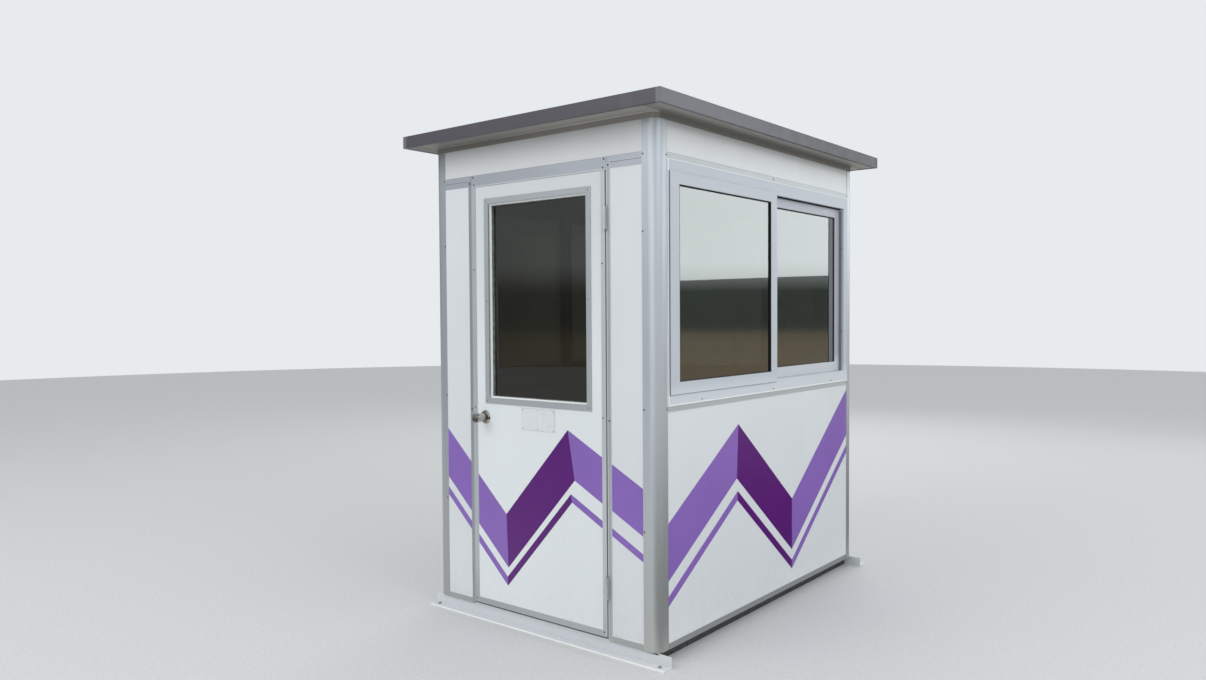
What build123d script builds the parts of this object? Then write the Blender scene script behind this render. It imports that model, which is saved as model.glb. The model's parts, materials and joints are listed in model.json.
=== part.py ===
from build123d import *
import os

os.makedirs("parts", exist_ok=True)

# A one-person security guard booth: insulated white panels in an aluminium frame, a half-glazed door
# in the front wall, a two-sash window in each side wall and a fixed window in the rear wall.
# Millimetres. The origin is on the ground under the middle of the booth, the door faces -Y, Z is up.

# Walls
booth_width = 1371.6
booth_depth = 1981.2
wall = 76.2
corner_radius = 44.5
skin = 1.6
extrusion_wall = 2.5
rail_height = 25.4
rail_seam = 0.4

# Heights above the ground
wall_foot = 50
sill_line = 1066
head_line = 2137.6
top_wall_height = 189.4

# Base frame, floor and anchor angles
base_recess = 38
base_flange = 52
base_plate = 5
joist_count = 2
floor_thickness = 6
threshold_thickness = 10
angle_reach = 44
angle_recess = 8
angle_thickness = 6
angle_overrun = 42
angle_shift = 16
anchor_hole_radius = 6.5
anchor_from_wall = 14

# Roof
roof_side_overhang = 102
roof_end_overhang = 118
roof_core = 46
soffit_sheet = 3
fascia_height = 57
cap_sheet = 2
cap_lip = 18
cap_hem = 5
crown_height = 29
crown_thickness = 3
crown_bead = 5

# Door and its frame
leaf_width = 829.2
leaf_thickness = 44.5
leaf_proud = 6
foot_gap = 6
head_gap = 6
door_gap = 7
door_stop_gap = 5.5
stop_reach = 12
jamb_face = 19
head_face = 25.4
hinge_flange = 20.5
latch_flange = 29
foot_flange = 28
edge_sheet = 1.5

# Door glazing
light_width = 610
light_shift = 5
light_above_knob = 96
top_stile = 89.2
glazing_flange = 28
glazing_proud = 4
glazing_edge = 1.5
glazing_sleeve = 3
bead_depth = 12
bead_width = 6
bead_slope = 8
door_glass_thickness = 6
door_glass_depth = 31

# Door hinges
hinge_height = 101.6
hinge_above_foot = 166
hinge_below_top = 256.2
hinge_leaf_width = 38
hinge_leaf_thickness = 2.8
knuckle_radius = 7
knuckle_count = 5
knuckle_gap = 0.4
pin_radius = 3
pin_clearance = 0.05
pin_tip = 4
barrel_stand_off = 0.6

# Door knob
knob_backset = 82
knob_height = 987
rose_radius = 33.5
rose_height = 8
knob_neck = 18
knob_waist = 21
knob_radius = 24
knob_reach = 69
knob_dish = 3
shank_radius = 11
shank_clearance = 0.08
spindle_radius = 6
lock_bore_radius = 14

# Windows
window_proud = 3
window_jamb = 52
window_head = 62
window_foot = 59
sash_depth = 26
sash_near_edge = 9
sash_lap = 13
sash_stile = 70
meeting_stile = 63
sash_rail = 54
sash_slack = 1
front_sash_proud = 8
rear_sash_depth = 28
sash_edge = 2
mitre_seam = 0.4
rear_sash_stile = 54
rear_meeting_stile = 40
sash_middle = 46.4
window_glass = 6
glass_bite = 10
glass_from_face = 9

# Worked out from the sizes above
soffit_line = head_line + top_wall_height
roof_underside = soffit_line + soffit_sheet
fascia_top = soffit_line + fascia_height
leaf_foot = wall_foot + threshold_thickness + foot_gap
head_foot = head_line - head_face
leaf_top = head_foot - head_gap
light_foot = knob_height + light_above_knob
light_top = leaf_top - top_stile
hinge_foots = (leaf_foot + hinge_above_foot, leaf_top - hinge_below_top)
half_width = booth_width / 2
half_depth = booth_depth / 2
front_span = booth_width - 2 * wall
side_span = booth_depth - 2 * wall
jamb_inside = leaf_width / 2 + door_gap
jamb_outside = jamb_inside + jamb_face
leaf_back = leaf_thickness - leaf_proud
panel_depths = (skin, wall - skin)
side_window_foot = sill_line + rail_height
front_rail_line = head_line - rail_height


# Every wall is drawn as if it were the front wall with its outside face at y = 0 and the cabin at +y,
# and is then carried to its place.
def to_front(shape):
    return Pos(0, -half_depth, 0) * shape


def to_rear(shape):
    return Pos(0, half_depth, 0) * Rot(0, 0, 180) * shape


def to_right(shape):
    return Pos(half_width, 0, 0) * Rot(0, 0, 90) * shape


def to_left(shape):
    return mirror(to_right(shape), about=Plane.YZ)


def window_rect(x0, x1, z0, z1):
    return Pos((x0 + x1) / 2, (z0 + z1) / 2) * Rectangle(x1 - x0, z1 - z0)


def upright(sketch, y0, y1):
    """A sketch in x and z, extruded through a wall from depth y0 to depth y1."""
    return extrude(Plane.XZ.offset(-y1) * sketch, y1 - y0)


def along_wall(sketch, x0, x1):
    """A section in depth and z, extruded along a wall from x0 to x1."""
    return extrude(Plane.YZ.offset(x0) * sketch, x1 - x0)


def level(sketch, z0, z1):
    """A plan sketch extruded upwards from z0 to z1."""
    return extrude(Plane.XY.offset(z0) * sketch, z1 - z0)


def slab(x0, x1, z0, z1, y0, y1):
    return upright(window_rect(x0, x1, z0, z1), y0, y1)


def ring(outer, inner, y0, y1):
    """A rectangular ring that stands in a wall, given by its outer and inner x0, x1, z0, z1."""
    return upright(window_rect(*outer) - window_rect(*inner), y0, y1)


def inset(rect, left, right, foot, top):
    x0, x1, z0, z1 = rect
    return (x0 + left, x1 - right, z0 + foot, z1 - top)


def bevelled(body, size):
    """The body with a small bevel round every edge of its outermost face."""
    face = body.faces().sort_by(Axis.Y)[0]
    return chamfer(face.edges(), size)


def mitred(body, outer, inner):
    """A ring cut from corner to corner into four lengths, with a fine seam between them."""
    for side in (0, 1):
        for end in (2, 3):
            start = (outer[side], outer[end])
            finish = (inner[side], inner[end])
            body -= upright(trace(Line(start, finish), mitre_seam), -wall, 2 * wall)
    return body


def channel_rail(x0, x1, z0, opens_up):
    """A wall rail: an aluminium channel whose flanges hold the edge of a panel."""
    middle = Pos(wall / 2, z0 + rail_height / 2)
    slot_shift = skin if opens_up else -skin
    section = middle * Rectangle(wall, rail_height)
    slot = Pos(0, slot_shift) * middle * Rectangle(wall - 2 * skin, rail_height)
    return along_wall(section - slot, x0, x1)


def panel(x0, x1, z0, z1):
    """An insulated panel, held behind the flanges of its rails."""
    return slab(x0, x1, z0, z1, *panel_depths)


def joined(shapes):
    return Compound(children=[part for shape in shapes for part in shape.solids()])


def save(node, shape):
    solids = shape.solids()
    kept = solids[0] if len(solids) == 1 else Compound(children=solids)
    export_step(kept, os.path.join("parts", node + ".step"))


# Base frame: a ring of channel with its open side inwards, and joists of the same height
def base_frame():
    length = booth_depth - 2 * (angle_recess + angle_thickness)
    width = booth_width - 2 * base_recess
    outline = Rectangle(width, length)
    web = outline - Rectangle(width - 2 * base_plate, length - 2 * base_plate)
    flange = outline - Rectangle(width - 2 * base_flange, length - 2 * base_flange)
    frame = level(web, 0, wall_foot)
    frame += level(flange, 0, base_plate)
    frame += level(flange, wall_foot - base_plate, wall_foot)
    joist = Rectangle(base_plate, wall_foot)
    for edge in (-1, 1):
        joist += Pos(0, edge * (wall_foot - base_plate) / 2) * Rectangle(base_flange, base_plate)
    pitch = length / (joist_count + 1)
    for index in range(joist_count):
        place = Pos((base_plate - width) / 2, (index + 1) * pitch - length / 2, wall_foot / 2)
        frame += place * extrude(Plane.YZ * joist, width - base_plate)
    return frame


def floor_plate():
    return level(Rectangle(front_span, side_span), wall_foot, wall_foot + floor_thickness)


# Anchor angle: the upright leg stands under the wall against the base frame, and the flat leg is bolted
# down one overrun in from each end. It sits a little to one side of the middle.
def anchor_angle():
    half_length = half_width + angle_overrun
    section = Polygon(
        (angle_recess + angle_thickness, 0),
        (angle_recess + angle_thickness, wall_foot),
        (angle_recess, wall_foot),
        (angle_recess, angle_thickness),
        (-angle_reach, angle_thickness),
        (-angle_reach, 0),
        align=None,
    )
    angle = along_wall(section, angle_shift - half_length, angle_shift + half_length)
    for side in (-1, 1):
        hole = Pos(angle_shift + side * half_width, -anchor_from_wall) * Circle(anchor_hole_radius)
        angle -= level(hole, 0, angle_thickness)
    return angle


# Corner post: a hollow square extrusion, rounded at the outer corner of the booth
def corner_post(side_x, side_y):
    square = Pos(wall / 2, -wall / 2) * Rectangle(wall, wall)
    outer_corner = square.vertices().sort_by(Axis((0, 0, 0), (1, -1, 0)))[-1]
    outside = fillet(outer_corner, corner_radius)
    inside = offset(outside, -extrusion_wall, kind=Kind.INTERSECTION)
    post = level(outside - inside, wall_foot, soffit_line)
    post = Pos(half_width - wall, wall - half_depth, 0) * post
    if side_x < 0:
        post = mirror(post, about=Plane.YZ)
    if side_y > 0:
        post = mirror(post, about=Plane.XZ)
    return post


# Front wall
front_edge = front_span / 2


def front_pair(build):
    """The same piece beside the door on the left and on the right."""
    return {side: build(*sorted((side * front_edge, side * jamb_outside))) for side in (-1, 1)}


def front_side_panel(x0, x1):
    return panel(x0, x1, wall_foot + skin, head_line - skin)


def front_header_rail():
    cuts = (-front_edge, -jamb_inside, jamb_inside, front_edge)
    seam = rail_seam / 2
    lengths = []
    for x0, x1 in zip(cuts, cuts[1:]):
        start = x0 if x0 == cuts[0] else x0 + seam
        end = x1 if x1 == cuts[-1] else x1 - seam
        lengths.append(channel_rail(start, end, head_line, True))
    return joined(lengths)


def top_panel(length):
    return panel(-length / 2, length / 2, head_line + skin, soffit_line)


def hollow(width, depth):
    walls = 2 * extrusion_wall
    return Rectangle(width, depth) - Rectangle(width - walls, depth - walls)


def door_jamb(side):
    """A hollow jamb with the stop that the leaf shuts against. Side -1 is the latch, 1 the hinges."""
    stop_start = leaf_back + door_stop_gap
    section = Pos(jamb_inside + jamb_face / 2, wall / 2) * hollow(jamb_face, wall)
    stop = Pos(jamb_inside - stop_reach / 2, (stop_start + wall) / 2) * Rectangle(stop_reach, wall - stop_start)
    jamb = level(section, wall_foot, head_line) + level(stop, wall_foot, head_foot)
    return jamb if side > 0 else mirror(jamb, about=Plane.YZ)


def door_head():
    """A hollow member between the jambs and under the header rail, with the stop over the leaf."""
    stop_start = leaf_back + door_stop_gap
    reach = jamb_inside - stop_reach
    section = Pos(wall / 2, head_foot + head_face / 2) * hollow(wall, head_face)
    stop = slab(-reach, reach, head_foot - stop_reach, head_foot, stop_start, wall)
    return along_wall(section, -jamb_inside, jamb_inside) + stop


def door_sill():
    """A threshold between the jambs, bevelled along its outside."""
    section = Polygon(
        (0, wall_foot),
        (wall, wall_foot),
        (wall, wall_foot + threshold_thickness),
        (threshold_thickness / 2, wall_foot + threshold_thickness),
        (0, wall_foot + threshold_thickness / 2),
        align=None,
    )
    # The stops of both jambs stand over the inner part of the threshold, so it is cut round them.
    sill = along_wall(section, -jamb_inside, jamb_inside)
    stop_start = leaf_back + door_stop_gap
    for side in (-1, 1):
        centre = side * (jamb_inside - stop_reach / 2)
        notch = Pos(centre, (stop_start + wall) / 2) * Rectangle(stop_reach, wall - stop_start)
        sill -= level(notch, wall_foot, wall_foot + threshold_thickness)
    return sill


# Hinges: the axis is over the middle of the door gap and stands off the face of the leaf
hinge_x = leaf_width / 2 + door_gap / 2
hinge_y = -leaf_proud - knuckle_radius - barrel_stand_off
knuckle_height = hinge_height / knuckle_count


def knuckle(foot, index):
    """One round of the barrel, before its bore."""
    z0 = foot + index * knuckle_height + knuckle_gap / 2
    z1 = foot + (index + 1) * knuckle_height - knuckle_gap / 2
    return Pos(hinge_x, hinge_y) * level(Circle(knuckle_radius), z0, z1)


def hinge_plate(foot, on_leaf, knuckles):
    """A hinge leaf on the edge of the door, or on the jamb, with the webs to its own knuckles."""
    thickness = hinge_leaf_thickness
    x0 = leaf_width / 2 if on_leaf else jamb_inside - thickness
    front = hinge_y + knuckle_radius + barrel_stand_off
    plate = Pos(x0 + thickness / 2, front + hinge_leaf_width / 2) * Rectangle(thickness, hinge_leaf_width)
    body = level(plate, foot, foot + hinge_height)
    web = Pos(x0 + thickness / 2, (hinge_y + front) / 2) * Rectangle(thickness, front - hinge_y)
    for index in knuckles:
        z0 = foot + index * knuckle_height + knuckle_gap / 2
        body += level(web, z0, z0 + knuckle_height - knuckle_gap)
        body += knuckle(foot, index)
    return body


def frame_hinges():
    """The leaves on the jamb: the outer and middle knuckles, with the pin fast in them."""
    hinges = []
    for foot in hinge_foots:
        body = hinge_plate(foot, False, range(0, knuckle_count, 2))
        pin = level(Circle(pin_radius), foot - pin_tip, foot + hinge_height + pin_tip)
        hinges.append(body + Pos(hinge_x, hinge_y) * pin)
    return joined(hinges)


def leaf_hinges():
    """The leaves on the door, which turn about the pins."""
    hinges = []
    for foot in hinge_foots:
        body = hinge_plate(foot, True, range(1, knuckle_count, 2))
        bore = Pos(hinge_x, hinge_y) * Circle(pin_radius + pin_clearance)
        body -= level(bore, foot, foot + hinge_height)
        hinges.append(body)
    return joined(hinges)


# Door
leaf_rect = (-leaf_width / 2, leaf_width / 2, leaf_foot, leaf_top)
light_rect = (light_shift - light_width / 2, light_shift + light_width / 2, light_foot, light_top)
light_cut = inset(light_rect, *[-glazing_sleeve] * 4)
trim_outer = inset(light_rect, *[-glazing_flange] * 4)
glass_front = door_glass_depth - leaf_proud
glass_back = glass_front + door_glass_thickness
knob_x = knob_backset - leaf_width / 2


def door_leaf():
    core = inset(leaf_rect, *[edge_sheet] * 4)
    leaf = ring(core, light_cut, edge_sheet - leaf_proud, leaf_back - edge_sheet)
    bore = Pos(knob_x, knob_height) * Circle(lock_bore_radius)
    return leaf - upright(bore, -leaf_proud, leaf_back)


def door_edge_channel():
    """Sheet round all four edges, turned over both faces at the sides and the foot."""
    core = inset(leaf_rect, *[edge_sheet] * 4)
    face = inset(leaf_rect, latch_flange, hinge_flange, foot_flange, edge_sheet)
    channel = ring(leaf_rect, core, -leaf_proud, leaf_back)
    channel += ring(leaf_rect, face, -leaf_proud, edge_sheet - leaf_proud)
    channel += ring(leaf_rect, face, leaf_back - edge_sheet, leaf_back)
    return channel


leaf_faces = (edge_sheet - leaf_proud, leaf_back - edge_sheet)


def glazing_frame(face, glass_side):
    """A flange on the face of the door with a sleeve that reaches in to the glass, in mitred lengths."""
    flange = bevelled(ring(trim_outer, light_rect, face - glazing_proud, face), glazing_edge)
    return mitred(flange + ring(light_cut, light_rect, face, glass_side), trim_outer, light_rect)


def door_glazing_outside():
    return glazing_frame(leaf_faces[0], glass_front)


def door_glazing_inside():
    """The same frame seen from the cabin, so it is drawn from the inner face and turned about."""
    frame = glazing_frame(-leaf_faces[1], -glass_back)
    return mirror(frame, about=Plane.XZ)


def door_bead():
    """The sloped bead that holds the pane from outside."""
    front = leaf_faces[0] - glazing_proud + bead_depth
    inner = inset(light_rect, *[bead_width] * 4)
    slope = loft([
        Plane.XZ.offset(-front) * window_rect(*light_rect),
        Plane.XZ.offset(-front - bead_slope) * window_rect(*inner),
    ])
    return ring(light_rect, inner, front, glass_front) - slope


def door_glass():
    return slab(*light_cut, glass_front, glass_back)


# Knob: turned about an axis along y through its own place in the leaf
def turned(profile, face, outwards):
    """A profile of radius against distance from the face, revolved about the axis of the knob."""
    points = [(knob_x + radius, face + outwards * away) for radius, away in profile]
    outline = make_face(Polyline(*points, close=True))
    return Pos(0, 0, knob_height) * revolve(outline, Axis((knob_x, 0, 0), (0, 1, 0)), 360)


knob_faces = tuple(zip(leaf_faces, (-1, 1)))


def door_roses():
    bore = shank_radius + shank_clearance
    profile = (
        (bore, 0),
        (rose_radius, 0),
        (rose_radius * 0.8, rose_height),
        (bore, rose_height),
    )
    return joined([turned(profile, face, outwards) for face, outwards in knob_faces])


def door_knobs():
    start = rose_height + 1
    profile = (
        (0, 0),
        (shank_radius, 0),
        (shank_radius, start),
        (knob_neck, start + knob_neck - shank_radius),
        (knob_radius, knob_reach - knob_waist / 2),
        (knob_waist, knob_reach),
        (0, knob_reach - knob_dish),
    )
    (front, _), (back, _) = knob_faces
    knobs = upright(Pos(knob_x, knob_height) * Circle(spindle_radius), front, back)
    for face, outwards in knob_faces:
        knobs += turned(profile, face, outwards)
    return knobs


# Side windows. Local x runs from the front post to the rear post of the right wall.
side_edge = side_span / 2
side_rect = (-side_edge, side_edge, side_window_foot, head_line)
side_opening = inset(side_rect, window_jamb, window_jamb, window_foot, window_head)
frame_face = -window_proud
front_sash_face = frame_face - front_sash_proud
rear_sash_face = frame_face + rear_sash_depth


def side_window_frame():
    """The frame fills the depth of the wall, in mitred lengths."""
    return mitred(ring(side_rect, side_opening, frame_face, wall), side_rect, side_opening)


def sash(outer, stile_near, stile_far, rail_foot, rail_top, y0):
    inner = inset(outer, stile_near, stile_far, rail_foot, rail_top)
    body = bevelled(ring(outer, inner, y0, y0 + sash_depth), sash_edge)
    groove = inset(inner, *[-glass_bite] * 4)
    glass_start = y0 + glass_from_face
    body -= slab(*groove, glass_start, glass_start + window_glass)
    return body, slab(*groove, glass_start, glass_start + window_glass)


def front_sash():
    """The sash nearer the door: it laps over the face of the frame and stands proud of it."""
    x0, _, z0, z1 = side_opening
    outer = (sash_near_edge - side_edge, sash_middle, z0 - sash_lap, z1 + sash_lap)
    frame, glass = sash(outer, sash_stile, meeting_stile, sash_rail, sash_rail, front_sash_face)
    rebate_outer = inset(outer, *[-sash_lap] * 4)
    rebate_inner = (x0 + sash_slack, sash_middle, z0 + sash_slack, z1 - sash_slack)
    frame -= ring(rebate_outer, rebate_inner, frame_face, front_sash_face + sash_depth)
    return frame, glass


def rear_sash():
    _, x1, z0, z1 = side_opening
    outer = (sash_middle - meeting_stile, x1, z0, z1)
    return sash(outer, rear_meeting_stile, rear_sash_stile, sash_rail, sash_rail, rear_sash_face)


def side_rails():
    rails = [
        channel_rail(-side_edge, side_edge, wall_foot, True),
        channel_rail(-side_edge, side_edge, sill_line, False),
        channel_rail(-side_edge, side_edge, head_line, True),
    ]
    return joined(rails)


def side_panel_lower():
    return panel(-side_edge, side_edge, wall_foot + skin, sill_line + rail_height - skin)


# Rear wall: the same rails and panels, with one fixed window
rear_rect = (-front_edge, front_edge, side_window_foot, head_line)


def rear_rails():
    rails = [
        channel_rail(-front_edge, front_edge, wall_foot, True),
        channel_rail(-front_edge, front_edge, sill_line, False),
        channel_rail(-front_edge, front_edge, head_line, True),
    ]
    return joined(rails)


def rear_window():
    inner = inset(rear_rect, window_jamb, window_jamb, window_foot, window_head)
    frame = mitred(ring(rear_rect, inner, frame_face, wall), rear_rect, inner)
    groove = inset(inner, *[-glass_bite] * 4)
    glass = slab(*groove, rear_sash_face, rear_sash_face + window_glass)
    return frame - glass, glass


# Roof
cap_width = booth_width + 2 * roof_side_overhang
cap_depth = booth_depth + 2 * roof_end_overhang


def band(width, depth, thickness, z0, z1):
    return level(Rectangle(width, depth) - Rectangle(width - 2 * thickness, depth - 2 * thickness), z0, z1)


def roof_cap():
    """A folded sheet: fascia, a lip that turns under the soffit, a hem on top and the deck."""
    deck_foot = roof_underside + roof_core
    cap = band(cap_width, cap_depth, cap_sheet, soffit_line - cap_sheet, fascia_top)
    cap += band(cap_width, cap_depth, cap_lip, soffit_line - cap_sheet, soffit_line)
    cap += band(cap_width, cap_depth, cap_hem, deck_foot, fascia_top)
    cap += level(Rectangle(cap_width, cap_depth), deck_foot, deck_foot + cap_sheet)
    return cap


def roof_panel():
    sheets = 2 * cap_sheet
    return level(Rectangle(cap_width - sheets, cap_depth - sheets), roof_underside, roof_underside + roof_core)


def roof_soffit():
    sheets = 2 * cap_sheet
    board = Rectangle(cap_width - sheets, cap_depth - sheets) - Rectangle(front_span, side_span)
    return level(board, soffit_line, roof_underside)


def crown_trim():
    """A strip round the head of the walls that follows the rounded corners, with a bead on top."""
    walls = RectangleRounded(booth_width, booth_depth, corner_radius)
    grow = 2 * crown_thickness
    face = RectangleRounded(booth_width + grow, booth_depth + grow, corner_radius + crown_thickness)
    grow = 2 * crown_bead
    bead = RectangleRounded(booth_width + grow, booth_depth + grow, corner_radius + crown_bead)
    trim = level(face - walls, soffit_line - crown_height, soffit_line)
    return trim + level(bead - walls, soffit_line - crown_bead, soffit_line)


# Ground and floor
save("base_frame", base_frame())
save("floor_plate", floor_plate())
front_angle = to_front(anchor_angle())
rear_angle = mirror(front_angle, about=Plane.XZ)
save("anchor_angles", joined([front_angle, rear_angle]))
save("door_sill", to_front(door_sill()))

# Corners and the panels between them over the head line
save("corner_posts", joined([corner_post(side_x, side_y) for side_x in (-1, 1) for side_y in (-1, 1)]))
top_walls = ((to_front, front_span), (to_rear, front_span), (to_right, side_span), (to_left, side_span))
save("top_panels", joined([carry(top_panel(length)) for carry, length in top_walls]))

# Front wall and door frame
bottom_rails = front_pair(lambda x0, x1: channel_rail(x0, x1, wall_foot, True))
top_rails = front_pair(lambda x0, x1: channel_rail(x0, x1, front_rail_line, False))
side_panels = front_pair(front_side_panel)
save("front_bottom_rails", to_front(joined(bottom_rails.values())))
save("front_top_rails", to_front(joined(top_rails.values())))
save("front_header_rail", to_front(front_header_rail()))
save("front_side_panels", to_front(joined(side_panels.values())))
save("door_jambs", to_front(joined([door_jamb(-1), door_jamb(1)])))
save("door_head", to_front(door_head()))
save("hinge_frame_leaves", to_front(frame_hinges()))

# Side walls
for hand, carry in (("right", to_right), ("left", to_left)):
    front_frame, front_pane = front_sash()
    rear_frame, rear_pane = rear_sash()
    save(f"{hand}_rails", carry(side_rails()))
    save(f"{hand}_panel_lower", carry(side_panel_lower()))
    save(f"{hand}_window_frame", carry(side_window_frame()))
    save(f"{hand}_sash_front", carry(front_frame))
    save(f"{hand}_sash_rear", carry(rear_frame))
    save(f"{hand}_glass_front", carry(front_pane))
    save(f"{hand}_glass_rear", carry(rear_pane))

# Rear wall
rear_frame, rear_pane = rear_window()
save("rear_rails", to_rear(rear_rails()))
save("rear_panel_lower", to_rear(panel(-front_edge, front_edge, wall_foot + skin, side_window_foot - skin)))
save("rear_window_frame", to_rear(rear_frame))
save("rear_glass", to_rear(rear_pane))

# Roof
save("roof_cap", roof_cap())
save("roof_panel", roof_panel())
save("roof_soffit", roof_soffit())
save("crown_trim", crown_trim())

# Door and knob
save("door_leaf", to_front(door_leaf()))
save("door_edge_channel", to_front(door_edge_channel()))
save("door_glazing_outside", to_front(door_glazing_outside()))
save("door_glazing_inside", to_front(door_glazing_inside()))
save("door_bead", to_front(door_bead()))
save("door_glass", to_front(door_glass()))
save("door_roses", to_front(door_roses()))
save("hinge_door_leaves", to_front(leaf_hinges()))
save("door_knobs", to_front(door_knobs()))
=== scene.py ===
import json
import math
import bmesh
import bpy
from mathutils import Matrix, Vector


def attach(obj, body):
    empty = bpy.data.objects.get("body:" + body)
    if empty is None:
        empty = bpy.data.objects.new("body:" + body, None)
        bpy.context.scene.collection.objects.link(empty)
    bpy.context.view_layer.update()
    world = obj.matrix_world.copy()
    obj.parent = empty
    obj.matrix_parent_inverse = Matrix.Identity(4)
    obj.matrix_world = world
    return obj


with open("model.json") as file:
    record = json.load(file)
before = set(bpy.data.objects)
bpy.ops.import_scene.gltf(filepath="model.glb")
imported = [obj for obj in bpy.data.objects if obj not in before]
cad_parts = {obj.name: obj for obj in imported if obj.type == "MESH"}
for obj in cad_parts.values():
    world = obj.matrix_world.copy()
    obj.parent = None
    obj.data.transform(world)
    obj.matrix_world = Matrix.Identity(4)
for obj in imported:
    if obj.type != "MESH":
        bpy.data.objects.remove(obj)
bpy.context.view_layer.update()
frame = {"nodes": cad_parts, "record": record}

# Sizes shared with the CAD source, in millimetres
# Walls
HALF_WIDTH = 685.8
HALF_DEPTH = 990.6
WALL = 76.2
PANEL_SINK = 1.6
WALL_FOOT = 50
RAIL = 25.4
SILL_LINE = 1066
HEAD_LINE = 2137.6
RAIL_TOP = HEAD_LINE + RAIL
WINDOW_FOOT = SILL_LINE + RAIL
FRONT_EDGE = HALF_WIDTH - WALL
SIDE_EDGE = HALF_DEPTH - WALL
# Roof
SIDE_OVERHANG, END_OVERHANG = 102, 118
SOFFIT_LINE = 2327
CROWN_FOOT = SOFFIT_LINE - 29
DECK = 2378
FASCIA_TOP = 2384
# Door
JAMB_INSIDE = 421.6
JAMB_OUTSIDE = 440.6
LEAF_HALF = 414.6
LEAF_FACE = -6.0
LEAF_BACK = 38.5
LEAF_SKIN = -4.5
HINGE_FLANGE, LATCH_FLANGE, FOOT_FLANGE = 20.5, 29.0, 28.0
LEAF_FOOT, LEAF_TOP = 66.0, 2106.2
HEAD_FOOT = 2112.2
DOOR_LIGHT = (-300.0, 310.0, 1083.0, 2017.0)
GLAZING_FLANGE, GLAZING_PROUD = 28, 4
BEAD = 6
STOP_GAP = 5.5
KNOB_Z = 987.0
# Windows. A sash or a light is a rectangle: its two ends, its foot and its top
WINDOW_FACE = -3.0
OPENING_Z = (1150.4, 2075.6)
OPENING_X = 862.4
SASH_FACE = -11.0
REAR_SASH_FACE = 25.0
GLASS_FROM_FACE = 9
NEAR_SASH = (-905.4, 46.4, 1137.4, 2088.6)
FRONT_LIGHT = (-835.4, -16.6, 1191.4, 2034.6)
REAR_LIGHT = (23.4, 808.4, 1204.4, 2021.6)
REAR_WALL_LIGHT = (-557.6, 557.6, *OPENING_Z)
# Anchor angles, each with its wall and its shift along that wall
ANGLES = (("front", 16), ("rear", -16))
ANGLE_REACH, ANGLE_OVERRUN, ANGLE_THICKNESS = 44, 42, 6
ANCHOR_FROM_WALL = 14

# Camera: the photograph's viewing angle, fitted to the edges of the booth
PHOTO_WIDTH, PHOTO_HEIGHT = 1206, 680
CAMERA_PLACE = Vector((2.852, -4.0846, 1.485))
CAMERA_ANGLES = (39.24, -1.77, -0.39)
FOCAL_PIXELS = 906.4
AXIS_PIXEL = (590, 342)


def add_camera():
    yaw, pitch, roll = (math.radians(angle) for angle in CAMERA_ANGLES)
    ahead = Vector((-math.sin(yaw) * math.cos(pitch), math.cos(yaw) * math.cos(pitch), math.sin(pitch)))
    level_right = Vector((math.cos(yaw), math.sin(yaw), 0))
    level_up = level_right.cross(ahead)
    right = math.cos(roll) * level_right + math.sin(roll) * level_up
    up = -math.sin(roll) * level_right + math.cos(roll) * level_up
    data = bpy.data.cameras.new("camera")
    data.sensor_width = 36
    data.lens = data.sensor_width * FOCAL_PIXELS / PHOTO_WIDTH
    data.shift_x = (PHOTO_WIDTH / 2 - AXIS_PIXEL[0]) / PHOTO_WIDTH
    data.shift_y = (AXIS_PIXEL[1] - PHOTO_HEIGHT / 2) / PHOTO_WIDTH
    camera = bpy.data.objects.new("camera", data)
    camera.matrix_world = Matrix((right, up, -ahead)).transposed().to_4x4()
    camera.location = CAMERA_PLACE
    bpy.context.collection.objects.link(camera)
    bpy.context.scene.camera = camera


# Colours
def srgb(red, green, blue):
    """Display values from 0 to 255 as a linear colour."""
    def linear(value):
        value /= 255
        return value / 12.92 if value <= 0.04045 else ((value + 0.055) / 1.055) ** 2.4
    return (linear(red), linear(green), linear(blue), 1)


def scaled(colour, factor):
    return tuple(min(1, value * factor) for value in colour[:3]) + (1,)


RAIN_STREAK = srgb(158, 155, 148)
SPLASH_MARK = srgb(150, 143, 130)
# The next three are painted shade: under the roof, right under its trim, and on metal under the roof
EAVE_SHADE = srgb(140, 137, 131)
CROWN_SHADE = srgb(84, 80, 74)
METAL_EAVE_SHADE = srgb(110, 108, 102)
# A painted reflection of dark planted ground, low down on the right of the posts
METAL_BED_REFLECTION = srgb(92, 90, 86)
FLOOR_DIRT = srgb(110, 104, 95)

# Heights in metres over which wear, painted shade and a painted reflection begin and end
SPLASH_HEIGHTS = (0.04, 0.4)
POST_BED_REFLECTION_HEIGHTS = (0.3, 1.3)
DOOR_HEAD_SHADE_HEIGHTS = (1.2, 2.1)
POST_EAVE_HEIGHTS = (2.12, 2.31)
EAVE_HEIGHTS = (2.16, 2.31)
CROWN_HEIGHTS = (2.254, 2.29)

# Distances in metres from the middle of the booth, across it and, for the last, along it
WEST_TO_EAST = (-0.45, 0.3)
POST_RIGHT_HALF = (0.652, 0.68)
LONG_WALL_FACE = 0.685
OVERHANG = (0.69, 0.775)
FASCIA_FACE = 0.765
FASCIA_LENGTH = (-1.1, 0.9)


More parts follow.
